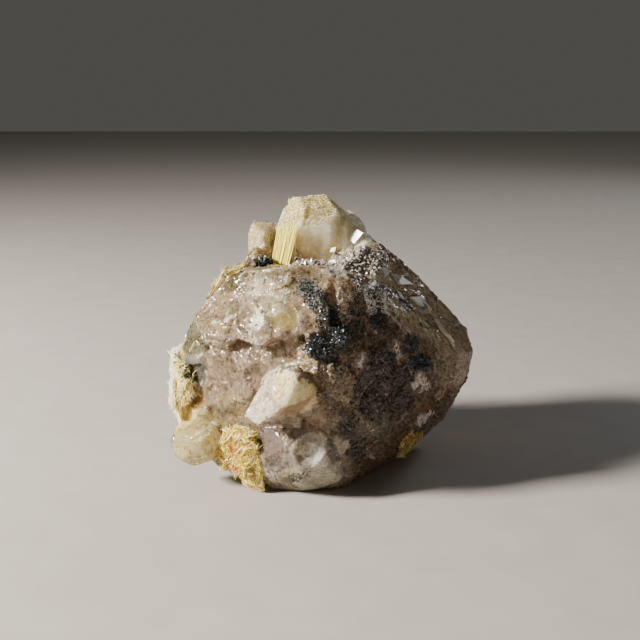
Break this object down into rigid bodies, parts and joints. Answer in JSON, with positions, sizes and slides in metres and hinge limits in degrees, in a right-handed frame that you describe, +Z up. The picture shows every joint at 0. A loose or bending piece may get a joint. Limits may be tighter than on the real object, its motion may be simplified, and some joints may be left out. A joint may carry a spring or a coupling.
{
  "type": "rutilated quartz",
  "caption": "Rough mineral specimen: smoky quartz mass with quartz crystals on top, golden rutile needles and black hematite, resting on a flat underside.",
  "frame": {"origin": "middle of the bounding box in plan, on the ground that the specimen rests on", "axes": "+X to the right along the longest side, -Y towards the show side, +Z up"},
  "size_m": [0.0606, 0.044, 0.0542],
  "materials": {
    "quartz": "vitreous, part frosted fracture",
    "rutile": "silky golden",
    "hematite": "black, semi-metallic"
  },
  "bodies": {
    "root": {"quartz": "quartz", "rutile_tall_crystal_blades": "rutile", "rutile_shoulder_edge": "rutile", "rutile_left_mat": "rutile", "rutile_foot_spray": "rutile", "rutile_right_sliver": "rutile", "hematite_rosette": "hematite", "hematite_front_crust": "hematite", "hematite_right_crust": "hematite"}
  },
  "joints": []
}
